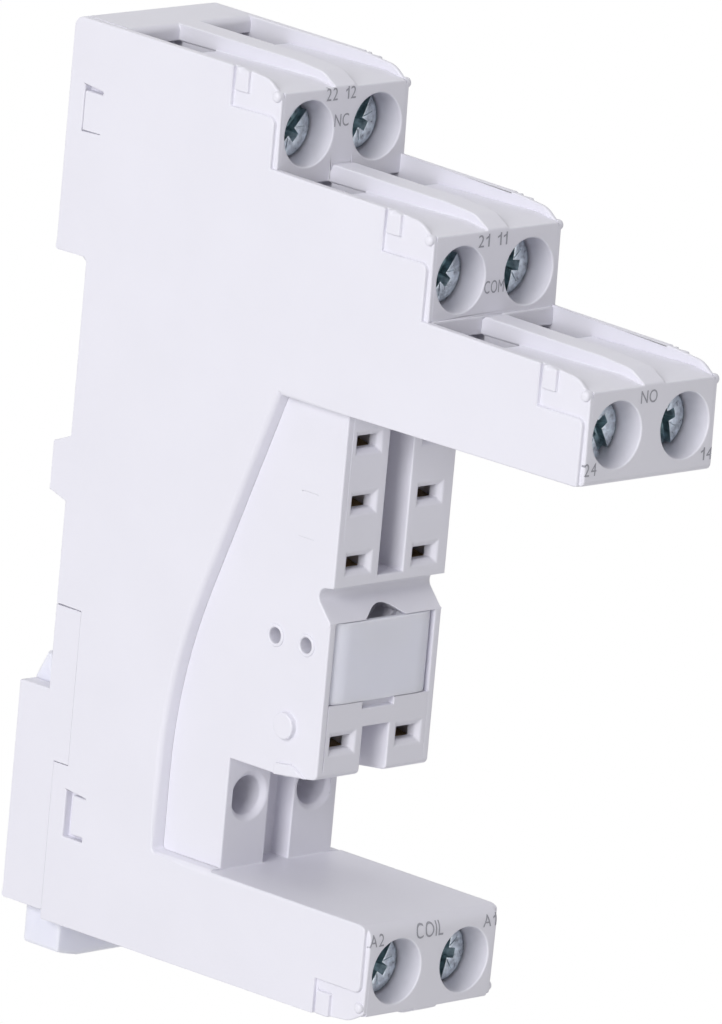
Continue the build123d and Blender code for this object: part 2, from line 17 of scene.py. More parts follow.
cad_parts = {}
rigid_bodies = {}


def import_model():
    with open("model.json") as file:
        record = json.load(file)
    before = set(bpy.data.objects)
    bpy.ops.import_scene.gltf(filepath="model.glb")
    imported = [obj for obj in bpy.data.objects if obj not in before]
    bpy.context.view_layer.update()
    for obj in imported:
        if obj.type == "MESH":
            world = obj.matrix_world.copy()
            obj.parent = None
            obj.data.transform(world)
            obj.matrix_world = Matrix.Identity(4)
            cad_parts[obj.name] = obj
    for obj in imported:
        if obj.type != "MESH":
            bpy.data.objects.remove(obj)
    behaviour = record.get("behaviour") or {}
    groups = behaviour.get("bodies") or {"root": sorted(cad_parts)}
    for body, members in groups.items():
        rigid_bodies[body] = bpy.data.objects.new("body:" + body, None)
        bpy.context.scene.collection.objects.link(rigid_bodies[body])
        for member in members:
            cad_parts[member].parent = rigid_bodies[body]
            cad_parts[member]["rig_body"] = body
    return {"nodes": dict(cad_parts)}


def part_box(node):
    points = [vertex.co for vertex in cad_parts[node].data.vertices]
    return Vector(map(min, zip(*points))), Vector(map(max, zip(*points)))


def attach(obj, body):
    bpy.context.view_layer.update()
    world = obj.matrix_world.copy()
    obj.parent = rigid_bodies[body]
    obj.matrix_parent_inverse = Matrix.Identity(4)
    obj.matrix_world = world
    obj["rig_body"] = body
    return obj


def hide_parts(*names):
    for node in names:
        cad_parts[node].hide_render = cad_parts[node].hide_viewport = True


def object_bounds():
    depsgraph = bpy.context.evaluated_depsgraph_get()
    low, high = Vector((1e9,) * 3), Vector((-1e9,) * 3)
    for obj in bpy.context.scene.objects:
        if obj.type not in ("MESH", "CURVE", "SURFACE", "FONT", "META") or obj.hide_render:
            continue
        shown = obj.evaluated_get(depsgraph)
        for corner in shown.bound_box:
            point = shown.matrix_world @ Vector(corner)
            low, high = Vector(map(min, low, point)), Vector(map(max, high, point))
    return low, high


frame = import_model()
cad_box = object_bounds()

LOG = logging.getLogger("relay_socket")
MM = 0.001
# The insert stands this far in front of the relay base.
INSERT_PROUD = 0.1
# Corners closer than the first value are one corner, and within the second they lie on one level.
SAME_PLACE_M = 1e-7
SAME_LEVEL_M = 1e-5
# Range that holds most of a noise cloud's values.
CLOUD_RANGE = (0.3, 0.7)
WHITE = (1.0, 1.0, 1.0, 1.0)
Colour = tuple[float, float, float]
Place = tuple[float, float, float]
Point = tuple[float, float]


class Side(Enum):
    """The two sides of the socket, as signs along X."""

    LEFT = -1
    RIGHT = 1

    @property
    def word(self) -> str:
        """Name of the side as the frame's nodes spell it."""
        return self.name.lower()


class Tier(Enum):
    """The four pairs of terminals, by the names that the frame's nodes use."""

    CLOSED = "nc"
    COMMON = "com"
    OPEN = "no"
    COIL = "coil"

    @property
    def way(self) -> int:
        """Direction along Z in which the tier's wires come in."""
        return -1 if self is Tier.COIL else 1


def terminals() -> list[str]:
    """Names of the eight terminals, tier by tier."""
    return [f"{tier.value}_{side.word}" for tier in Tier for side in Side]


def shaded(colour: Colour, share: float) -> Colour:
    """A colour made lighter or darker by a factor on each channel."""
    return tuple(min(1.0, channel * share) for channel in colour)


class Shader:
    """Builds one material's node tree around a principled shader."""

    def __init__(self, name: str) -> None:
        """Start a material.

        Args:
            name: Name of the material.
        """
        self.material = bpy.data.materials.new(name)
        self.material.use_nodes = True
        self.tree = self.material.node_tree
        self.surface = self.tree.nodes["Principled BSDF"]
        self.place = self.tree.nodes.new("ShaderNodeTexCoord").outputs["Object"]

    def noise(self, size: float, detail: float = 2.0) -> bpy.types.NodeSocket:
        """Add a cloud of soft spots.

        Args:
            size: Typical size of a spot in millimetres.
            detail: Number of finer layers.

        Returns:
            The socket that carries the cloud's value.
        """
        node = self.tree.nodes.new("ShaderNodeTexNoise")
        node.inputs["Scale"].default_value = 1 / (size * MM)
        node.inputs["Detail"].default_value = detail
        self.tree.links.new(self.place, node.inputs["Vector"])
        return node.outputs["Fac"]

    def spread(self, value: bpy.types.NodeSocket, low: float, high: float) -> bpy.types.NodeSocket:
        """Map a cloud's middle range to two limits.

        Args:
            value: Socket with the cloud.
            low: Result at the lower end.
            high: Result at the upper end.

        Returns:
            The socket that carries the mapped value.
        """
        node = self.tree.nodes.new("ShaderNodeMapRange")
        node.inputs["From Min"].default_value = CLOUD_RANGE[0]
        node.inputs["From Max"].default_value = CLOUD_RANGE[1]
        node.inputs["To Min"].default_value = low
        node.inputs["To Max"].default_value = high
        self.tree.links.new(value, node.inputs["Value"])
        return node.outputs["Result"]

    def tint(self, value: bpy.types.NodeSocket, dark: Colour, light: Colour) -> None:
        """Colour the surface between two shades.

        Args:
            value: Socket that chooses between the shades.
            dark: Shade at the lower end.
            light: Shade at the upper end.
        """
        node = self.tree.nodes.new("ShaderNodeMix")
        node.data_type = "RGBA"
        node.inputs["A"].default_value = (*dark, 1)
        node.inputs["B"].default_value = (*light, 1)
        self.tree.links.new(value, node.inputs["Factor"])
        self.tree.links.new(node.outputs["Result"], self.surface.inputs["Base Color"])

    def drifting(self, colour: Colour, drift: float, patch: float, layers: float) -> bpy.types.NodeSocket:
        """Colour the surface with a shade that drifts in soft patches.

        Args:
            colour: Middle shade.
            drift: How far the shade strays, as a share.
            patch: Typical size of a patch in millimetres.
            layers: Number of finer layers in the patches.

        Returns:
            The socket that carries the patches.
        """
        cloud = self.noise(patch, layers)
        dark = shaded(colour, 1 - drift)
        self.tint(self.spread(cloud, 0, 1), dark, shaded(colour, 1 + drift))
        return cloud

    def rough(self, value: bpy.types.NodeSocket, low: float, high: float) -> None:
        """Let the roughness drift between two values."""
        self.tree.links.new(self.spread(value, low, high), self.surface.inputs["Roughness"])

    def grain(self, value: bpy.types.NodeSocket, height: float) -> None:
        """Give the surface a fine relief.

        Args:
            value: Socket with the relief.
            height: Height of the relief in millimetres.
        """
        node = self.tree.nodes.new("ShaderNodeBump")
        node.inputs["Strength"].default_value = 1
        node.inputs["Distance"].default_value = height * MM
        self.tree.links.new(value, node.inputs["Height"])
        self.tree.links.new(node.outputs["Normal"], self.surface.inputs["Normal"])


@dataclass(frozen=True)
class MouldedFinish:
    """Moulded plastic with a fine grain and a faint drift of shade."""

    name: str
    colour: Colour
    roughness: float
    drift: float = 0.012
    patch: float = 9.0
    grain_size: float = 0.22
    grain_height: float = 0.004
    gloss: float = 0.4
    milk: float = 0.0
    reach: float = 0.0
    layers: float = 3.0
    grain_layers: float = 1.0
    swing: float = 0.04

    def material(self) -> bpy.types.Material:
        """Build the material.

        Returns:
            The finished material.
        """
        shader = Shader(self.name)
        shader.drifting(self.colour, self.drift, self.patch, self.layers)
        fine = shader.noise(self.grain_size, self.grain_layers)
        shader.rough(fine, self.roughness - self.swing, self.roughness + self.swing)
        shader.grain(fine, self.grain_height)
        inputs = shader.surface.inputs
        inputs["Specular IOR Level"].default_value = self.gloss
        inputs["Subsurface Weight"].default_value = self.milk
        inputs["Subsurface Radius"].default_value = (1, 1, 1)
        inputs["Subsurface Scale"].default_value = self.reach * MM
        return shader.material


@dataclass(frozen=True)
class MetalFinish:
    """Plated or bare metal with faint streaks."""

    name: str
    colour: Colour
    roughness: float
    drift: float = 0.08
    patch: float = 0.9
    grain_size: float = 0.12
    grain_height: float = 0.002
    layers: float = 4.0
    smoother: float = 0.06
    rougher: float = 0.08

    def material(self) -> bpy.types.Material:
        """Build the material.

        Returns:
            The finished material.
        """
        shader = Shader(self.name)
        cloud = shader.drifting(self.colour, self.drift, self.patch, self.layers)
        shader.rough(cloud, self.roughness - self.smoother, self.roughness + self.rougher)
        shader.grain(shader.noise(self.grain_size), self.grain_height)
        shader.surface.inputs["Metallic"].default_value = 1
        return shader.material


@dataclass(frozen=True)
class PrintFinish:
    """Thin grey ink with a slightly uneven cover."""

    name: str
    colour: Colour
    drift: float = 0.12
    patch: float = 0.3
    layers: float = 3.0
    roughness: Point = (0.5, 0.7)

    def material(self) -> bpy.types.Material:
        """Build the material.

        Returns:
            The finished material.
        """
        shader = Shader(self.name)
        cloud = shader.drifting(self.colour, self.drift, self.patch, self.layers)
        shader.rough(cloud, *self.roughness)
        return shader.material


class Palette:
    """The socket's finishes, each made once."""

    def __init__(self) -> None:
        """Make every material."""
        self.housing = MouldedFinish("pale_grey_moulding", (0.760, 0.752, 0.825), 0.46).material()
        self.nylon = MouldedFinish(
            "milky_nylon", (0.79, 0.795, 0.895), 0.34, gloss=0.5, milk=0.6, reach=0.9
        ).material()
        self.zinc = MetalFinish("blue_zinc", (0.62, 0.68, 0.72), 0.32, drift=0.32, patch=0.5).material()
        # The screw recess is the blue zinc darkened: painted shade and a painted dark reflection inside the
        # slot and the cross.
        self.recess = MetalFinish("screw_recess", (0.30, 0.39, 0.42), 0.36, drift=0.5, patch=0.6).material()
        self.steel = MetalFinish("plated_steel", (0.56, 0.57, 0.58), 0.38).material()
        self.bronze = MetalFinish("bronze_strip", (0.46, 0.33, 0.18), 0.36, patch=1.6).material()
        self.ink = PrintFinish("grey_print", (0.34, 0.34, 0.385)).material()


def placed(name: str, data: bpy.types.ID) -> bpy.types.Object:
    """Stand a new object in the scene.

    Args:
        name: Name of the object.
        data: Its mesh, curve, lamp or camera.

    Returns:
        The object.
    """
    piece = bpy.data.objects.new(name, data)
    bpy.context.scene.collection.objects.link(piece)
    return piece


def meshed(shape: bmesh.types.BMesh, name: str) -> bpy.types.Mesh:
    """Turn a worked shape into a mesh.

    Args:
        shape: The shape, which is used up.
        name: Name of the mesh.

    Returns:
        The mesh.
    """
    mesh = bpy.data.meshes.new(name)
    shape.to_mesh(mesh)
    shape.free()
    return mesh


def solid(mesh: bpy.types.Mesh) -> bmesh.types.BMesh:
    """Turn a mesh back into a shape to work on.

    Args:
        mesh: The mesh, which is used up.

    Returns:
        The shape.
    """
    shape = bmesh.new()
    shape.from_mesh(mesh)
    bpy.data.meshes.remove(mesh)
    return shape


def put(
    mesh: bpy.types.Mesh, name: str, body: str, slot: str, *finishes: bpy.types.Material
) -> bpy.types.Object:
    """Make a piece from a mesh and hang it on a body.

    Args:
        mesh: The piece's mesh, in the frame's place.
        name: Name of the piece.
        body: Body that it moves with.
        slot: Material slot of the record; not used.
        finishes: Its finishes, in the order of the mesh's own indices.

    Returns:
        The new object.
    """
    piece = placed(name, mesh)
    for finish in finishes:
        mesh.materials.append(finish)
    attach(piece, body)
    LOG.info("piece %s on %s: %d faces", name, body, len(mesh.polygons))
    return piece


def smooth(mesh: bpy.types.Mesh, angle: float) -> None:
    """Shade a mesh smoothly, apart from edges sharper than an angle in degrees."""
    mesh.polygons.foreach_set("use_smooth", [True] * len(mesh.polygons))
    mesh.set_sharp_from_angle(angle=math.radians(angle))


def even_shading(mesh: bpy.types.Mesh, angle: float) -> None:
    """Shade a mesh so that wide faces look flat and rounded edges run smoothly into them.

    Args:
        mesh: The mesh.
        angle: Faces that lean further apart than this, in degrees, don't share their shading.
    """
    limit = math.cos(math.radians(angle))
    around: list[list[tuple[Vector, float]]] = [[] for _ in mesh.vertices]
    for face in mesh.polygons:
        facing = (face.normal.copy(), face.area)
        for corner in face.vertices:
            around[corner].append(facing)
    normals = []
    for face in mesh.polygons:
        own = face.normal.copy()
        for corner in face.vertices:
            total = Vector()
            for normal, area in around[corner]:
                if normal.dot(own) > limit:
                    total += normal * area
            normals.append(total.normalized())
    mesh.polygons.foreach_set("use_smooth", [True] * len(mesh.polygons))
    mesh.normals_split_custom_set(normals)


def turned(profile: list[Point], steps: int) -> bmesh.types.BMesh:
    """Spin a profile about the Y axis.

    Args:
        profile: Corners as (radius, y) in millimetres; a radius of zero lies on the axis.
        steps: Number of facets round the axis.

    Returns:
        The closed surface.
    """
    shape = bmesh.new()
    corners = [shape.verts.new((radius * MM, y * MM, 0)) for radius, y in profile]
    edges = [shape.edges.new(pair) for pair in zip(corners, corners[1:])]
    bmesh.ops.spin(
        shape,
        geom=corners + edges,
        axis=(0, 1, 0),
        cent=(0, 0, 0),
        steps=steps,
        angle=math.tau,
        use_merge=True,
    )
    bmesh.ops.remove_doubles(shape, verts=shape.verts, dist=SAME_PLACE_M)
    bmesh.ops.recalc_face_normals(shape, faces=shape.faces)
    return shape


def block(
    shape: bmesh.types.BMesh, size: tuple[float, float, float], place: Matrix, foot: float = 1.0
) -> None:
    """Add a box to a mesh.

    Args:
        shape: Mesh that takes the box.
        size: Its sides in millimetres.
        place: Where it goes, in metres.
        foot: Size of its end towards +Y, as a share of the other end.
    """
    made = bmesh.ops.create_cube(shape, size=1)
    scale = Matrix.Diagonal((*(side * MM for side in size), 1))
    for corner in made["verts"]:
        if corner.co.y > 0:
            corner.co.x *= foot
            corner.co.z *= foot
        corner.co = place @ scale @ corner.co


def with_modifiers(piece: bpy.types.Object) -> bpy.types.Mesh:
    """Mesh of an object after its modifiers."""
    graph = bpy.context.evaluated_depsgraph_get()
    return bpy.data.meshes.new_from_object(piece.evaluated_get(graph))


def discard(piece: bpy.types.Object) -> None:
    """Remove an object and its mesh.

    Args:
        piece: The object.
    """
    spent = piece.data
    bpy.data.objects.remove(piece)
    bpy.data.meshes.remove(spent)


def carved(body: bmesh.types.BMesh, tool: bmesh.types.BMesh) -> bpy.types.Mesh:
    """Cut one closed shape out of another.

    Args:
        body: Shape that stays.
        tool: Shape that is taken away.

    Returns:
        Mesh of what is left, where each face keeps the material index of its shape.
    """
    objects = []
    for shape in (body, tool):
        mesh = meshed(shape, "carving")
        mesh.materials.append(None)
        mesh.materials.append(None)
        objects.append(placed("carving", mesh))
    cut = objects[0].modifiers.new("cut", "BOOLEAN")
    cut.operation = "DIFFERENCE"
    cut.solver = "EXACT"
    cut.use_self = True
    cut.material_mode = "INDEX"
    cut.object = objects[1]
    result = with_modifiers(objects[0])
    for piece in objects:
        discard(piece)
    return result


def neighbours(node: str) -> BVHTree:
    """Surfaces of every solid but one.

    Args:
        node: Name of the frame's node that is left out.

    Returns:
        The other solids, ready for distance queries.
    """
    joined = bmesh.new()
    for name, piece in frame["nodes"].items():
        if name != node:
            joined.from_mesh(piece.data)
    tree = BVHTree.FromBMesh(joined)
    joined.free()
    return tree


@dataclass
class SoftEdges:
    """Rounds the sharp edges of a node's solid on a copy of it.

    Edges sharper than an angle are rounded, apart from closed joints and those beside a sliver of a
    face. Corners that stray from the solid go back onto it, and faces that the rounding turned over,
    seen by the cosine to the solid, are closed up where a fold is small.
    """

    radius: float = 0.14
    segments: int = 3
    sharp: float = 28.0
    shading: float = 36.0
    weld: float = 0.002
    sliver: float = 0.004
    stray: float = 0.2
    proud: float = 0.005
    past: float = 0.01
    joint: float = 0.05
    probes: tuple[float, ...] = (0.1, 0.5, 0.9)
    turned: float = 0.25
    fold: float = 0.4
    passes: int = 3

    def copy(self, node: str) -> bpy.types.Mesh:
        """Make a softened copy of a node.

        Args:
            node: Name of the frame's node.

        Returns:
            Mesh with rounded edges, in the frame's place.
        """
        shape = self.blank(node)
        bmesh.ops.remove_doubles(shape, verts=shape.verts, dist=self.weld * MM)
        bmesh.ops.dissolve_degenerate(shape, dist=self.weld * MM, edges=shape.edges)
        surface = BVHTree.FromBMesh(shape)
        shape = solid(self.rounded(shape, self.radii(shape, neighbours(node))))
        self.pull_in(shape, surface)
        bmesh.ops.triangulate(shape, faces=[f for f in shape.faces if len(f.verts) > 4])
        self.unfold(shape, surface)
        self.keep_inside(shape, node)
        mesh = meshed(shape, node)
        even_shading(mesh, self.shading)
        return mesh

    def blank(self, node: str) -> bmesh.types.BMesh:
        """Take the solid of a node before its edges are rounded.

        Args:
            node: Name of the frame's node.

        Returns:
            A shape of its own to work on.
        """
        shape = bmesh.new()
        shape.from_mesh(frame["nodes"][node].data)
        return shape

    def rounded(self, shape: bmesh.types.BMesh, radii: dict[int, float]) -> bpy.types.Mesh:
        """Round edges, each with its own radius.

        Args:
            shape: Mesh of the solid, which is used up.
            radii: Radius in millimetres by the edge's index.

        Returns:
            The rounded mesh.
        """
        widest = max(radii.values())
        weight = shape.edges.layers.float.new("bevel_weight_edge")
        shape.edges.ensure_lookup_table()
        for index, radius in radii.items():
            shape.edges[index][weight] = radius / widest
        piece = placed("rounding", meshed(shape, "rounding"))
        bevel = piece.modifiers.new("soft_edges", "BEVEL")
        bevel.limit_method = "WEIGHT"
        bevel.offset_type = "OFFSET"
        bevel.width = widest * MM
        bevel.segments = self.segments
        bevel.use_clamp_overlap = False
        bevel.loop_slide = False
        result = with_modifiers(piece)
        discard(piece)
        return result

    def radii(self, shape: bmesh.types.BMesh, others: BVHTree) -> dict[int, float]:
        """Choose a radius for every edge to round.

        Args:
            shape: Mesh of the solid.
            others: The solids round it.

        Returns:
            Radii in millimetres by the edge's index.
        """
        limit = math.radians(self.sharp)
        found = {}
        shape.edges.index_update()
        for edge in shape.edges:
            if not edge.is_manifold or edge.calc_face_angle(0) < limit or self.closed(edge, others):
                continue
            thin = min(2 * f.calc_area() / max(e.calc_length() for e in f.edges) for f in edge.link_faces)
            radius = self.radius_at(edge)
            if thin > self.sliver * MM and radius > 0:
                found[edge.index] = radius
        return found

    def radius_at(self, edge: bmesh.types.BMEdge) -> float:
        """Radius at an edge in millimetres."""
        return self.radius

    def closed(self, edge: bmesh.types.BMEdge, others: BVHTree) -> bool:
        """Tell whether an edge lies against another solid all along, as at a seam of two mouldings.

        Args:
            edge: The edge.
            others: The solids round it.

        Returns:
            True for a closed joint.
        """
        start, end = (corner.co for corner in edge.verts)
        points = (start.lerp(end, share) for share in self.probes)
        return all(others.find_nearest(point, self.joint * MM)[0] is not None for point in points)

    def pull_in(self, shape: bmesh.types.BMesh, surface: BVHTree) -> None:
        """Bring corners that strayed back onto the solid.

        Args:
            shape: Mesh after rounding.
            surface: The solid before rounding.
        """
        for corner in shape.verts:
            nearest, normal, _, distance = surface.find_nearest(corner.co)
            outside = (corner.co - nearest).dot(normal) > self.proud * MM
            if distance > self.stray * MM or (outside and distance > self.past * MM):
                corner.co = nearest

    def unfold(self, shape: bmesh.types.BMesh, surface: BVHTree) -> None:
        """Close up faces that the rounding turned over, by merging their two nearest corners.

        Args:
            shape: Mesh after rounding.
            surface: The solid before rounding.
        """
        for _ in range(self.passes):
            shape.normal_update()
            short = set()
            for face in shape.faces:
                normal = surface.find_nearest(face.calc_center_median())[1]
                edge = min(face.edges, key=lambda side: side.calc_length())
                if normal.dot(face.normal) < self.turned and edge.calc_length() < self.fold * MM:
                    short.add(edge)
            bmesh.ops.collapse(shape, edges=list(short))

    def keep_inside(self, shape: bmesh.types.BMesh, node: str) -> None:
        """Hold every corner inside the node's box.

        Args:
            shape: Mesh after rounding.
            node: Name of the frame's node.
        """
        low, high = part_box(node)
        for corner in shape.verts:
            for axis in range(3):
                corner.co[axis] = min(max(corner.co[axis], low[axis]), high[axis])

    def piece(self, node: str, slot: str, material: bpy.types.Material) -> bpy.types.Object:
        """Show a softened copy in place of a node.

        Args:
            node: Name of the frame's node.
            slot: Material slot of the record.
            material: Its finish.

        Returns:
            The piece.
        """
        body = frame["nodes"][node]["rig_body"]
        made = put(self.copy(node), f"{node}_skin", body, slot, material)
        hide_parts(node)
        return made


@dataclass
class BodyEdges(SoftEdges):
    """Soft edges of the body, with a flared arch, shallow slot funnels and close snap tongues."""

    joint: float = 0.12
    arch_radius: float = 1.5
    arch_drop: float = 0.05
    arch_deep: float = 3.4
    arch_margin: float = 0.2
    arch_end: float = 1.0
    arch_slack: float = 0.02
    arch_height: float = 0.73
    arch_flare: float = 0.6
    arch_beside: float = 2.5
    far_front_m: float = -1.0
    tongue_x: float = 6.0
    tongue_y: Point = (-28.0, -25.0)
    tongue_z: Point = (0.0, 6.0)
    tongue_gap: float = 0.085
    contact_rows: int = 3
    first_row: float = 9.2
    contact_pitch: float = 5.0
    coil_step: float = 15.0
    row_room: float = 1.1
    slot_x: float = 3.75
    slot_room: float = 1.55
    slot_grow: float = 1.12
    funnel_deep: float = 0.9
    funnel_share: float = 0.38
    bore_radius: float = 0.65
    bore_deep: float = 2.0
    bore_facets: int = 24

    def blank(self, node: str) -> bmesh.types.BMesh:
        """Take the solid of the body with its arch, tongues, funnels and bores reshaped.

        Args:
            node: Name of the body's node.

        Returns:
            The solid before its edges are rounded.
        """
        shape = super().blank(node)
        surface = BVHTree.FromBMesh(shape)
        self.widen_arch(shape, surface)
        self.close_tongues(shape)
        self.shallow_funnels(shape)
        return solid(carved(shape, self.bores()))

    def rows(self) -> list[float]:
        """Heights of the pin slots: the contact rows and the coil row below them."""
        contacts = [self.first_row - row * self.contact_pitch for row in range(self.contact_rows)]
        return [*contacts, contacts[-1] - self.coil_step]

    def shallow_funnels(self, shape: bmesh.types.BMesh) -> None:
        """Bring the floors of the slots' funnels nearer to the face.

        Args:
            shape: Mesh of the body.
        """
        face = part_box("insert_block")[0].y + INSERT_PROUD * MM
        rows = self.rows()
        for corner in shape.verts:
            place = corner.co
            deep = place.y - face
            row = any(abs(place.z - z * MM) < self.row_room * MM for z in rows)
            column = abs(abs(place.x) - self.slot_x * MM) < self.slot_room * MM
            if row and column and 0 < deep < (self.funnel_deep + self.weld) * MM:
                place.y = face + deep * self.funnel_share
                middle = math.copysign(self.slot_x * MM, place.x)
                grow = 1 + (self.slot_grow - 1) * deep / (self.funnel_deep * MM)
                place.x = middle + (place.x - middle) * grow

    def bores(self) -> bmesh.types.BMesh:
        """Make rods that carry the covers' small holes on into the body.

        Returns:
            The rods, as a tool to carve with.
        """
        tool = bmesh.new()
        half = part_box("insert_block")[1].x
        for side in Side:
            for y, z in CoverEdges().holes():
                place = Matrix.Translation((side.value * half, y, z)) @ Matrix.Rotation(math.pi / 2, 4, "Y")
                bmesh.ops.create_cone(
                    tool,
                    cap_ends=True,
                    segments=self.bore_facets,
                    radius1=self.bore_radius * MM,
                    radius2=self.bore_radius * MM,
                    depth=2 * self.bore_deep * MM,
                    matrix=place,
                )
        return tool

    def widen_arch(self, shape: bmesh.types.BMesh, surface: BVHTree) -> None:
        """Give the arch over the insert a lower crown and flared ends.

        Args:
            shape: Mesh of the body.
            surface: The body as it was.
        """
        low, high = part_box("insert_block")
        middle = high.z - self.arch_drop * MM
        rear = low.y + (INSERT_PROUD + self.arch_deep - self.arch_margin) * MM
        for corner in shape.verts:
            place = corner.co
            off = math.hypot(place.x, place.z - middle) - self.arch_radius * MM
            if abs(off) > self.arch_slack * MM or not low.y < place.y < rear + self.arch_end * MM:
                continue
            rise = (place.z - middle) / (self.arch_radius * MM)
            place.x *= 1 + self.arch_flare * (1 - abs(rise)) ** 2
            if rise > 0:
                place.z = middle + rise * self.arch_height * self.arch_radius * MM
                if place.y < rear:
                    beside = self.arch_beside * self.arch_radius * MM
                    start = Vector((beside, self.far_front_m, place.z))
                    place.y = surface.ray_cast(start, Vector((0, 1, 0)))[0].y

    def close_tongues(self, shape: bmesh.types.BMesh) -> None:
        """Stretch the flush snap tongues until only a hairline is left round them.

        Args:
            shape: Mesh of the body.
        """

        def inside(value: float, span: Point) -> bool:
            """Whether a place lies in a span of millimetres."""
            return span[0] * MM < value < span[1] * MM

        outer = [corner.co for corner in shape.verts if abs(corner.co.x) > self.tongue_x * MM]
        tongues = [p for p in outer if inside(p.y, self.tongue_y) and inside(p.z, self.tongue_z)]
        low = min(place.z for place in tongues)
        high = max(place.z for place in tongues)
        grow = 1 + 2 * self.tongue_gap * MM / (high - low)
        for place in tongues:
            place.z = (low + high) / 2 + (place.z - (low + high) / 2) * grow


@dataclass
class CoverEdges(SoftEdges):
    """Soft edges of a cover, broader along the step beside the relay."""

    joint: float = 0.12
    fold: float = 0.9
    step_radius: float = 0.5
    short: float = 0.1
    upright: float = 0.02
    level: float = 0.95
    step_in: float = 1.25
    lean_share: float = 0.88
    boss_height: float = 0.35
    boss_lift: float = 0.2
    hole_steps: Point = (2.45, 6.0)
    hole_rise: float = 4.55
    hole_radius: float = 0.65

    def holes(self) -> list[Point]:
        """Find the centres of the two small holes.

        Returns:
            Their places as (y, z) in metres.
        """
        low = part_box("insert_block")[0]
        height = low.z + self.hole_rise * MM
        return [(low.y + (step + INSERT_PROUD) * MM, height) for step in self.hole_steps]

    def blank(self, node: str) -> bmesh.types.BMesh:
        """Take the solid of a cover with a steeper step, a higher boss and open small holes.

        Args:
            node: Name of the cover's node.

        Returns:
            The solid before its edges are rounded.
        """
        shape = super().blank(node)
        low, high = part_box(node)
        base = max(-low.x, high.x) - self.step_in * MM
        self.steepen(shape, base)
        for corner in shape.verts:
            place = corner.co
            if abs(abs(place.x) - base - self.boss_height * MM) < self.weld * MM:
                place.x += math.copysign(self.boss_lift * MM, place.x)
            for y, z in self.holes():
                reach = math.hypot(place.y - y, place.z - z)
                if 0 < reach < self.hole_radius * MM:
                    grow = self.hole_radius * MM / reach
                    place.y = y + (place.y - y) * grow
                    place.z = z + (place.z - z) * grow
        return shape

    def steepen(self, shape: bmesh.types.BMesh, base: float) -> None:
        """Draw the foot of the leaning wall beside the relay closer to its top.

        Args:
            shape: Mesh of the cover.
            base: Half width beside the relay.
        """
        shape.normal_update()
        moves = []
        for corner in shape.verts:
            if abs(abs(corner.co.x) - base) > self.weld * MM:
                continue
            walls = [f.normal for f in corner.link_faces if self.upright < abs(f.normal.x) < self.level]
            lean = sum(walls, Vector())
            flat = Vector((0, lean.y, lean.z))
            if flat.length > 0:
                reach = self.step_in * MM * abs(lean.x) / flat.length
                moves.append((corner, -flat.normalized() * reach * (1 - self.lean_share)))
        for corner, move in moves:
            corner.co += move

    def radius_at(self, edge: bmesh.types.BMEdge) -> float:
        """Choose the radius at an edge.

        Args:
            edge: The edge.

        Returns:
            Millimetres: more where a leaning wall meets the side, none between two such walls.
        """
        leans = sorted(abs(face.normal.x) for face in edge.link_faces)
        if self.upright < leans[0] and leans[1] < self.level:
            return 0.0
        wall = edge.is_convex and self.upright < leans[0] < self.level < leans[1]
        return self.step_radius if wall and edge.calc_length() > self.short * MM else self.radius


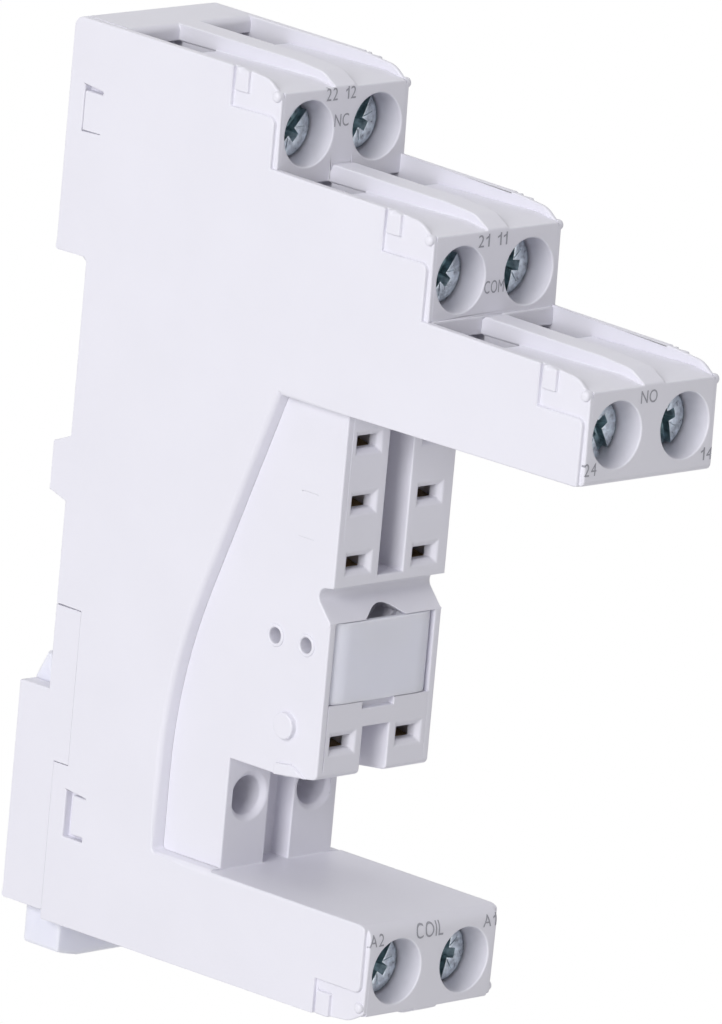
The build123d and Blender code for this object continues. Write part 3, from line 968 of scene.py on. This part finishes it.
@dataclass
class Housing:
    """The body between its two covers, with the small relief on the covers."""

    body_edges: BodyEdges = field(default_factory=BodyEdges)
    cover_edges: CoverEdges = field(default_factory=lambda: CoverEdges(segments=4))
    pin_radius: float = 0.45
    pin_height: float = 0.45
    pin_rise: dict[Tier, float] = field(
        default_factory=lambda: {
            Tier.CLOSED: 3.2,
            Tier.COMMON: 3.4,
            Tier.OPEN: 3.35,
            Tier.COIL: 2.75,
        }
    )
    pin_stand: float = 2.3
    pin_flat: float = 0.3
    pin_root: float = 0.2
    pin_steps: int = 5
    rim_outer: float = 0.95
    rim_inner: float = 0.65
    rim_height: float = 0.15
    rim_root: float = 0.1
    rim_steps: int = 10
    facets: int = 32
    crease: float = 50.0

    def pin(self) -> list[Point]:
        """Draw the profile of a locating pin with a domed end.

        Returns:
            Corners as (radius, height); negative heights point outwards.
        """
        flat = self.pin_radius * self.pin_flat
        bend = self.pin_radius - flat
        steps = [math.pi / 2 * i / self.pin_steps for i in range(self.pin_steps + 1)]
        dome = [(flat + bend * math.cos(a), -self.pin_height + bend * (1 - math.sin(a))) for a in steps]
        return [(0, self.pin_root), (self.pin_radius, self.pin_root), *dome, (0, -self.pin_height)]

    def ring(self) -> list[Point]:
        """Draw the profile of the rounded rim round a small hole.

        Returns:
            Corners as (radius, height), closed; negative heights point outwards.
        """
        middle = (self.rim_outer + self.rim_inner) / 2
        half = (self.rim_outer - self.rim_inner) / 2
        steps = [math.pi * i / self.rim_steps for i in range(self.rim_steps + 1)]
        top = [(middle + half * math.cos(a), -self.rim_height * math.sin(a)) for a in steps]
        start = (self.rim_outer, self.rim_root)
        return [start, *top, (self.rim_inner, self.rim_root), start]

    def stamp(self, profile: list[Point], places: list[Vector], side: Side) -> bpy.types.Mesh:
        """Set copies of a turned shape on one side of the socket.

        Args:
            profile: Its profile; negative heights point outwards.
            places: Where the copies stand.
            side: Side that they face.

        Returns:
            One mesh with all the copies.
        """
        single = meshed(turned(profile, self.facets), "stamp")
        joined = bmesh.new()
        face = Matrix.Rotation(side.value * math.pi / 2, 4, "Z")
        for place in places:
            copy = single.copy()
            copy.transform(Matrix.Translation(place) @ face)
            joined.from_mesh(copy)
            bpy.data.meshes.remove(copy)
        bpy.data.meshes.remove(single)
        mesh = meshed(joined, "stamps")
        smooth(mesh, self.crease)
        return mesh

    def relief(self, side: Side, palette: Palette) -> None:
        """Add the pins and the hole rims of one cover.

        Args:
            side: Which cover.
            palette: The finishes.
        """
        low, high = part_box(f"{side.word}_cover")
        outer = side.value * max(abs(low.x), abs(high.x))
        base = outer - side.value * self.cover_edges.step_in * MM
        pins = []
        for tier in Tier:
            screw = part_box(f"{tier.value}_{side.word}_screw")
            height = (screw[0].z + screw[1].z) / 2 + tier.way * self.pin_rise[tier] * MM
            front = screw[0].y - (self.pin_stand - self.pin_radius) * MM
            pins.append(Vector((outer - side.value * self.pin_height * MM, front, height)))
        rims = [Vector((base, y, z)) for y, z in self.cover_edges.holes()]
        for word, profile, places in (("pins", self.pin(), pins), ("rims", self.ring(), rims)):
            mesh = self.stamp(profile, places, side)
            put(mesh, f"{side.word}_cover_{word}", "socket", "housing", palette.housing)

    def build(self, palette: Palette) -> None:
        """Make and dress the mouldings.

        Args:
            palette: The finishes.
        """
        self.body_edges.piece("main_body", "housing", palette.housing)
        for side in Side:
            self.cover_edges.piece(f"{side.word}_cover", "housing", palette.housing)
            self.relief(side, palette)


@dataclass
class TerminalScrews:
    """The eight clamp screws, each with a slot, a cross and a thread."""

    dome: float = 0.12
    crown_reach: float = 0.45
    crown_drop: float = 0.12
    rim: float = 0.14
    rim_stretch: float = 1.2
    rim_steps: int = 6
    above: float = 0.5
    slot_reach: float = 2.4
    slot_width: float = 1.05
    slot_deep: float = 0.75
    cross_width: float = 0.95
    cross_reach: float = 1.5
    cross_deep: float = 1.3
    taper: float = 0.62
    tick_width: float = 0.1
    tick_deep: float = 0.06
    tick_long: float = 0.42
    tick_place: float = 0.55
    tick_turns: tuple[float, ...] = (45, 135, 225, 315)
    thread_pitch: float = 0.5
    thread_deep: float = 0.27
    thread_rows: int = 4
    thread_facets: int = 28
    facets: int = 64
    sharp: float = 35.0
    soft_edge: float = 0.05
    soft_segments: int = 2
    crease: float = 32.0
    turns: dict[str, float] = field(
        default_factory=lambda: {
            "nc_left": 45,
            "nc_right": 62,
            "com_left": 50,
            "com_right": 84,
            "no_left": -58,
            "no_right": -72,
            "coil_left": 58,
            "coil_right": 80,
        }
    )

    def head(self, radius: float, height: float) -> bmesh.types.BMesh:
        """Turn the domed head on the Y axis, with its underside at zero.

        Args:
            radius: Radius of the head.
            height: Height of the head.

        Returns:
            The closed head without its recess.
        """
        profile: list[Point] = [(0, 0), (radius, 0), (radius, self.rim - height)]
        bend = self.rim * self.rim_stretch
        edge = height - self.dome
        for step in range(self.rim_steps + 1):
            angle = math.pi / 2 * step / self.rim_steps
            reach = radius - bend + bend * math.cos(angle)
            profile.append((reach, -(edge - self.rim) - self.rim * math.sin(angle)))
        profile.append((radius * self.crown_reach, -(height - self.dome * self.crown_drop)))
        profile.append((0, -height))
        return turned(profile, self.facets)

    def recess(self, radius: float, height: float) -> bmesh.types.BMesh:
        """Make the tool that cuts the slot, the cross and the fine ticks.

        Args:
            radius: Radius of the head.
            height: Height of the head.

        Returns:
            The tool, placed on the head.
        """
        tool = bmesh.new()
        top = height + self.above

        def bar(size: Point, deep: float, turn: float, shift: float = 0.0, foot: float = 1.0) -> None:
            """Add one bar that reaches from above the head down to a depth.

            Args:
                size: Its length and width.
                deep: Depth below the top of the head.
                turn: Turn about the axis in degrees.
                shift: How far its middle stands off the axis.
                foot: Size of its lower end, as a share of the upper one.
            """
            tall = top - (height - deep)
            place = Matrix.Rotation(math.radians(turn), 4, "Y")
            place @= Matrix.Translation((shift * MM, -(top - tall / 2) * MM, 0))
            block(tool, (size[0], tall, size[1]), place, foot)

        bar((self.slot_reach * radius, self.slot_width), self.slot_deep, 0)
        for turn in (90, 0):
            bar((2 * self.cross_reach, self.cross_width), self.cross_deep, turn, foot=self.taper)
        # The slot and the cross take the second finish, the darker zinc that paints shade into the recess.
        for facet in tool.faces:
            facet.material_index = 1
        tick = radius * self.tick_long
        for turn in self.tick_turns:
            bar((tick, self.tick_width), self.dome + self.tick_deep, turn, radius * self.tick_place)
        return tool

    def thread(self, radius: float, length: float) -> bmesh.types.BMesh:
        """Wind the threaded shank on the Y axis, from zero towards +Y.

        Args:
            radius: Radius over the crests.
            length: Length of the shank.

        Returns:
            The shank, closed at both ends.
        """
        shape = bmesh.new()
        around = self.thread_facets
        rows = max(self.thread_rows, round(length / self.thread_pitch * self.thread_rows))
        rings = []
        for row in range(rows + 1):
            y = length * row / rows
            ring = []
            for step in range(around):
                angle = math.tau * step / around
                phase = (y / self.thread_pitch - step / around) % 1.0
                crest = 1 - abs(2 * phase - 1)
                plain = min(1.0, min(y, length - y) / self.thread_pitch)
                reach = (radius - self.thread_deep * (1 - crest * plain)) * MM
                place = (reach * math.cos(angle), y * MM, reach * math.sin(angle))
                ring.append(shape.verts.new(place))
            rings.append(ring)
        for low, high in zip(rings, rings[1:]):
            for i in range(around):
                j = (i + 1) % around
                shape.faces.new((low[i], low[j], high[j], high[i]))
        shape.faces.new(rings[0])
        shape.faces.new(rings[-1])
        bmesh.ops.recalc_face_normals(shape, faces=shape.faces)
        return shape

    def pattern(self, node: str) -> bpy.types.Mesh:
        """Make one screw on the Y axis, measured from a node, with the head's underside at zero.

        Args:
            node: Name of a screw node.

        Returns:
            Mesh of the screw.
        """
        low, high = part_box(node)
        radius = (high.x - low.x) / 2 / MM
        long = (high.y - low.y) / MM
        height = self.head_height(node)
        shape = solid(carved(self.head(radius, height), self.recess(radius, height)))
        limit = math.radians(self.sharp)
        edges = [e for e in shape.edges if e.is_manifold and e.calc_face_angle(0) > limit]
        bmesh.ops.bevel(
            shape,
            geom=edges,
            offset=self.soft_edge * MM,
            offset_type="OFFSET",
            segments=self.soft_segments,
            profile=0.5,
            affect="EDGES",
            clamp_overlap=True,
            loop_slide=True,
            material=-1,
        )
        shank = meshed(self.thread(self.shank_radius(node), long - height), "shank")
        shape.from_mesh(shank)
        bpy.data.meshes.remove(shank)
        mesh = meshed(shape, "screw_pattern")
        smooth(mesh, self.crease)
        return mesh

    def shank_radius(self, node: str) -> float:
        """Read the radius of a screw's shank at its rear end.

        Args:
            node: Name of a screw node.

        Returns:
            The radius in millimetres.
        """
        verts = frame["nodes"][node].data.vertices
        rear = max(v.co.y for v in verts)
        xs = [v.co.x for v in verts if rear - v.co.y < SAME_LEVEL_M]
        return (max(xs) - min(xs)) / 2 / MM

    def head_height(self, node: str) -> float:
        """Read the height of a screw's head from where its full width ends.

        Args:
            node: Name of a screw node.

        Returns:
            The height in millimetres.
        """
        verts = frame["nodes"][node].data.vertices
        wide = max(v.co.x for v in verts)
        ys = [v.co.y for v in verts if wide - v.co.x < SAME_LEVEL_M]
        return (max(ys) - min(v.co.y for v in verts)) / MM

    def build(self, palette: Palette) -> None:
        """Make and dress all the screws.

        Args:
            palette: The finishes.
        """
        pattern = self.pattern("nc_left_screw")
        height = self.head_height("nc_left_screw")
        for name in terminals():
            node = f"{name}_screw"
            low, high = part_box(node)
            mesh = pattern.copy()
            centre = Vector(((low.x + high.x) / 2, low.y + height * MM, (low.z + high.z) / 2))
            turn = Matrix.Rotation(math.radians(-self.turns[name]), 4, "Y")
            mesh.transform(Matrix.Translation(centre) @ turn)
            # The second finish paints shade into the slot and the cross of each screw.
            piece = put(mesh, f"{node}_detail", node, "screw_zinc", palette.zinc, palette.recess)
            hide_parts(node)
        bpy.data.meshes.remove(pattern)


@dataclass
class ClampParts:
    """The cages and the contact strips behind the screws."""

    cage_edges: SoftEdges = field(default_factory=lambda: SoftEdges(radius=0.12))
    strip_edges: SoftEdges = field(default_factory=lambda: SoftEdges(radius=0.08))

    def build(self, palette: Palette) -> None:
        """Make and dress the cages and strips.

        Args:
            palette: The finishes.
        """
        for name in terminals():
            self.cage_edges.piece(f"{name}_cage", "cage_steel", palette.steel)
            self.strip_edges.piece(f"{name}_contact", "contact_brass", palette.bronze)


@dataclass
class InsertEdges(SoftEdges):
    """Soft edges of the insert, which is hollow behind its front wall and long in its roundings."""

    wall: float = 0.6
    hollow_wide: float = 5.2
    hollow_deep: float = 2.5
    rounding: float = 0.8
    stretch: float = 2.2

    def blank(self, node: str) -> bmesh.types.BMesh:
        """Take the solid of the insert with its hollow and its longer roundings.

        Args:
            node: Name of the insert's node.

        Returns:
            The solid before its edges are rounded.
        """
        low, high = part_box(node)
        size = (self.hollow_wide, 2 * (high.y - low.y) / MM, 2 * self.hollow_deep)
        tool = bmesh.new()
        middle = (0, low.y + (self.wall + size[1] / 2) * MM, high.z)
        block(tool, size, Matrix.Translation(middle))
        plain = super().blank(node)
        for corner in plain.verts:
            off = high.x - abs(corner.co.x)
            if off < (self.rounding + self.weld) * MM:
                corner.co.x = math.copysign(high.x - off * self.stretch, corner.co.x)
        return solid(carved(plain, tool))


@dataclass
class NylonParts:
    """The rail latch and the insert in the relay base."""

    latch_edges: SoftEdges = field(default_factory=lambda: SoftEdges(radius=0.25))
    insert_edges: InsertEdges = field(default_factory=lambda: InsertEdges(radius=0.15))

    def build(self, palette: Palette) -> None:
        """Make and dress the nylon pieces.

        Args:
            palette: The finishes.
        """
        self.latch_edges.piece("rail_latch", "latch_nylon", palette.nylon)
        self.insert_edges.piece("insert_block", "insert_nylon", palette.nylon)


@dataclass(frozen=True)
class Mark:
    """One printed word: its text, centre on the face, width and height."""

    text: str
    x: float
    z: float
    width: float
    height: float = 1.05


@dataclass
class Print:
    """Terminal numbers and words, laid on the front faces."""

    lift: float = 0.02
    cuts: int = 3
    spacing: float = 0.2
    stem: float = 0.15
    flag: float = 0.26
    font_size: float = 1.4
    curve_steps: int = 5
    bend: float = 0.9
    start_y: float = -70.0
    marks: dict[Tier, tuple[Mark, ...]] = field(
        default_factory=lambda: {
            Tier.CLOSED: (
                Mark("22", -1.55, 35.5, 1.25),
                Mark("12", 0.56, 35.52, 1.15),
                Mark("NC", -0.28, 33.3, 1.6),
            ),
            Tier.COMMON: (
                Mark("21", -1.56, 27.43, 1.26),
                Mark("11", 0.52, 27.43, 1.1),
                Mark("COM", -0.04, 23.57, 2.2),
            ),
            Tier.OPEN: (
                Mark("NO", -0.54, 18.79, 1.85),
                Mark("24", -6.6, 13.45, 1.35),
                Mark("14", 6.6, 13.45, 1.3),
            ),
            Tier.COIL: (
                Mark("A2", -6.5, -29.8, 1.6),
                Mark("COIL", -0.49, -29.62, 3.1, 1.25),
                Mark("A1", 6.4, -29.7, 1.5),
            ),
        }
    )

    def sign(self, sign: str, mark: Mark) -> bpy.types.Mesh:
        """Make one flat letter or figure.

        Args:
            sign: The letter.
            mark: The word that it belongs to.

        Returns:
            Its mesh, standing on the line Y = 0.
        """
        curve = bpy.data.curves.new("letters", "FONT")
        curve.body = sign
        curve.size = mark.height * MM * self.font_size
        curve.resolution_u = self.curve_steps
        piece = placed("letters", curve)
        mesh = with_modifiers(piece)
        bpy.data.objects.remove(piece)
        bpy.data.curves.remove(curve)
        return mesh

    def one(self, mark: Mark) -> bpy.types.Mesh:
        """Make a flat figure one with a flag, as high as the word.

        Args:
            mark: The word that it belongs to.

        Returns:
            Its mesh, standing on the line Y = 0.
        """
        tall, stem, flag = (share * mark.height * MM for share in (1.0, self.stem, self.flag))
        corners = [(0, 0), (stem, 0), (stem, tall), (0, tall), (0, tall - stem)]
        drop = tall - flag / 2
        corners += [(-flag, drop - stem), (-flag, drop - 2 * stem), (0, tall - 2 * stem)]
        mesh = bpy.data.meshes.new("letters")
        mesh.from_pydata([(x, y, 0) for x, y in corners], [], [(0, 1, 2, 3, 4, 7), (4, 5, 6, 7)])
        return mesh

    def letters(self, mark: Mark) -> bpy.types.Mesh:
        """Set flat letters in the plane of X and Z, on the mark's place.

        Args:
            mark: The word.

        Returns:
            Their mesh, scaled to the mark's width and height.
        """
        line = bmesh.new()
        reach = 0.0
        for sign in mark.text:
            glyph = self.one(mark) if sign == "1" else self.sign(sign, mark)
            left = min(v.co.x for v in glyph.vertices)
            glyph.transform(Matrix.Translation((reach - left, 0, 0)))
            reach = max(v.co.x for v in glyph.vertices) + self.spacing * mark.height * MM
            line.from_mesh(glyph)
            bpy.data.meshes.remove(glyph)
        mesh = meshed(line, "letters")
        xs = [v.co.x for v in mesh.vertices]
        ys = [v.co.y for v in mesh.vertices]
        middle = Vector(((min(xs) + max(xs)) / 2, (min(ys) + max(ys)) / 2, 0))
        wide = mark.width * MM / (max(xs) - min(xs))
        tall = mark.height * MM / (max(ys) - min(ys))
        place = Matrix.Translation((mark.x * MM, 0, mark.z * MM)) @ Matrix.Rotation(math.pi / 2, 4, "X")
        mesh.transform(place @ Matrix.Diagonal((wide, tall, 1, 1)) @ Matrix.Translation(-middle))
        fine = solid(mesh)
        bmesh.ops.triangulate(fine, faces=fine.faces)
        bmesh.ops.subdivide_edges(fine, edges=fine.edges, cuts=self.cuts, use_grid_fill=True)
        return meshed(fine, "letters")

    def lay(self, mesh: bpy.types.Mesh, face: float, surface: BVHTree) -> None:
        """Move letters back onto the face behind them.

        Args:
            mesh: The letters.
            face: Depth of the face between its wells.
            surface: The mouldings that they are printed on.
        """
        for corner in mesh.vertices:
            depth = self.depth(corner.co.x, corner.co.z, surface)
            inside = depth is not None and depth - face < self.bend * MM
            corner.co.y = max((depth if inside else face) - self.lift * MM, cad_box[0][1])

    def depth(self, x: float, z: float, surface: BVHTree) -> float | None:
        """Depth of the mouldings behind one point of the front, or None beside them."""
        hit = surface.ray_cast(Vector((x, self.start_y * MM, z)), Vector((0, 1, 0)))[0]
        return None if hit is None else hit.y

    def build(self, palette: Palette) -> None:
        """Make the print, one piece for each tier.

        Args:
            palette: The finishes.
        """
        mouldings = bmesh.new()
        for node in ("main_body", "left_cover", "right_cover"):
            mouldings.from_mesh(frame["nodes"][node].data)
        surface = BVHTree.FromBMesh(mouldings)
        mouldings.free()
        for tier, marks in self.marks.items():
            low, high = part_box(f"{tier.value}_left_screw")
            face = self.depth(0, (low.z + high.z) / 2, surface)
            joined = bmesh.new()
            for mark in marks:
                mesh = self.letters(mark)
                self.lay(mesh, face, surface)
                joined.from_mesh(mesh)
                bpy.data.meshes.remove(mesh)
            name = f"{tier.value}_print"
            put(meshed(joined, name), name, "socket", "housing", palette.ink)


@dataclass(frozen=True)
class Lamp:
    """One soft square lamp: its place and its side in metres, and its power in watts."""

    name: str
    place_m: Place
    side_m: float
    power: float


@dataclass
class Studio:
    """A white room with soft light from the left, and the camera."""

    floor_drop_m: float = 0.16
    floor_half_m: float = 6.0
    floor_patch: float = 400.0
    floor_shades: Point = (0.78, 0.82)
    floor_rough: Point = (0.85, 0.95)
    camera_m: Place = (-0.772224, -0.774923, 0.258771)
    right: Place = (0.70835797, -0.70026812, 0.08862024)
    up: Place = (0.10253432, 0.22630273, 0.96864534)
    back: Place = (-0.69836645, -0.67706103, 0.23210486)
    lens: float = 482.28
    sensor: float = 36.0
    clip_m: Point = (0.05, 50.0)
    room_light: float = 0.36
    aim_m: Place = (0.0, -0.025, 0.0)
    lamps: tuple[Lamp, ...] = (
        Lamp("left_window", (-1.55, -0.48, 0.62), 0.8, 19.0),
        Lamp("ceiling", (0.0, 0.1, 1.7), 1.4, 7.0),
    )

    def camera(self) -> None:
        """Stand the camera where the photograph was taken."""
        data = bpy.data.cameras.new("camera")
        data.sensor_width = self.sensor
        data.lens = self.lens
        data.clip_start, data.clip_end = self.clip_m
        piece = placed("camera", data)
        columns = Matrix((self.right, self.up, self.back)).transposed()
        piece.matrix_world = Matrix.Translation(self.camera_m) @ columns.to_4x4()
        bpy.context.scene.camera = piece

    def lights(self) -> None:
        """Hang the soft lamps, all aimed at the object."""
        for lamp in self.lamps:
            data = bpy.data.lights.new(lamp.name, "AREA")
            data.size = lamp.side_m
            data.energy = lamp.power
            piece = placed(lamp.name, data)
            piece.location = lamp.place_m
            piece.rotation_mode = "QUATERNION"
            aim = Vector(self.aim_m) - Vector(lamp.place_m)
            piece.rotation_quaternion = aim.to_track_quat("-Z", "Y")

    def white_to_camera(self, tree: bpy.types.NodeTree, seen: str, output: str) -> None:
        """Let a surface or the room show as plain white to the camera and in reflections.

        Args:
            tree: Node tree with a shader already on its output.
            seen: Kind of the shader that shows white.
            output: Name of the output node.
        """
        node = tree.nodes[output]
        lit = node.inputs["Surface"].links[0].from_socket
        white = tree.nodes.new(seen)
        white.inputs["Color"].default_value = WHITE
        white.inputs["Strength"].default_value = 1
        rays = tree.nodes.new("ShaderNodeLightPath")
        mix = tree.nodes.new("ShaderNodeMixShader")
        total = rays.outputs["Is Camera Ray"]
        for kind in ("Is Glossy Ray", "Is Transmission Ray"):
            either = tree.nodes.new("ShaderNodeMath")
            either.operation = "MAXIMUM"
            tree.links.new(total, either.inputs[0])
            tree.links.new(rays.outputs[kind], either.inputs[1])
            total = either.outputs[0]
        tree.links.new(total, mix.inputs["Fac"])
        tree.links.new(lit, mix.inputs[1])
        tree.links.new(white.outputs[0], mix.inputs[2])
        tree.links.new(mix.outputs[0], node.inputs["Surface"])

    def room(self) -> None:
        """Make the even light of the room and the pale floor."""
        world = bpy.data.worlds.new("room")
        bpy.context.scene.world = world
        world.use_nodes = True
        sky = world.node_tree.nodes["Background"]
        sky.inputs["Color"].default_value = WHITE
        sky.inputs["Strength"].default_value = self.room_light
        self.white_to_camera(world.node_tree, "ShaderNodeBackground", "World Output")
        half = self.floor_half_m
        level = -self.floor_drop_m
        mesh = bpy.data.meshes.new("floor")
        corners = [(-half, -half, level), (half, -half, level), (half, half, level), (-half, half, level)]
        mesh.from_pydata(corners, [], [(0, 1, 2, 3)])
        floor = placed("floor", mesh)
        shader = Shader("pale_floor")
        cloud = shader.noise(self.floor_patch)
        dark, light = ((shade,) * 3 for shade in self.floor_shades)
        shader.tint(cloud, dark, light)
        shader.rough(cloud, *self.floor_rough)
        self.white_to_camera(shader.tree, "ShaderNodeEmission", "Material Output")
        mesh.materials.append(shader.material)

    def build(self) -> None:
        """Set up the room, the lamps and the camera."""
        self.room()
        self.lights()
        self.camera()
        bpy.context.scene.view_settings.view_transform = "Standard"


def main() -> None:
    """Build the socket's sub-assemblies in order, then the studio."""
    logging.basicConfig(level=logging.INFO, format="%(message)s")
    palette = Palette()
    for part in (Housing(), TerminalScrews(), ClampParts(), NylonParts(), Print()):
        LOG.info("building %s", type(part).__name__)
        part.build(palette)
    Studio().build()


if __name__ == "__main__":
    main()
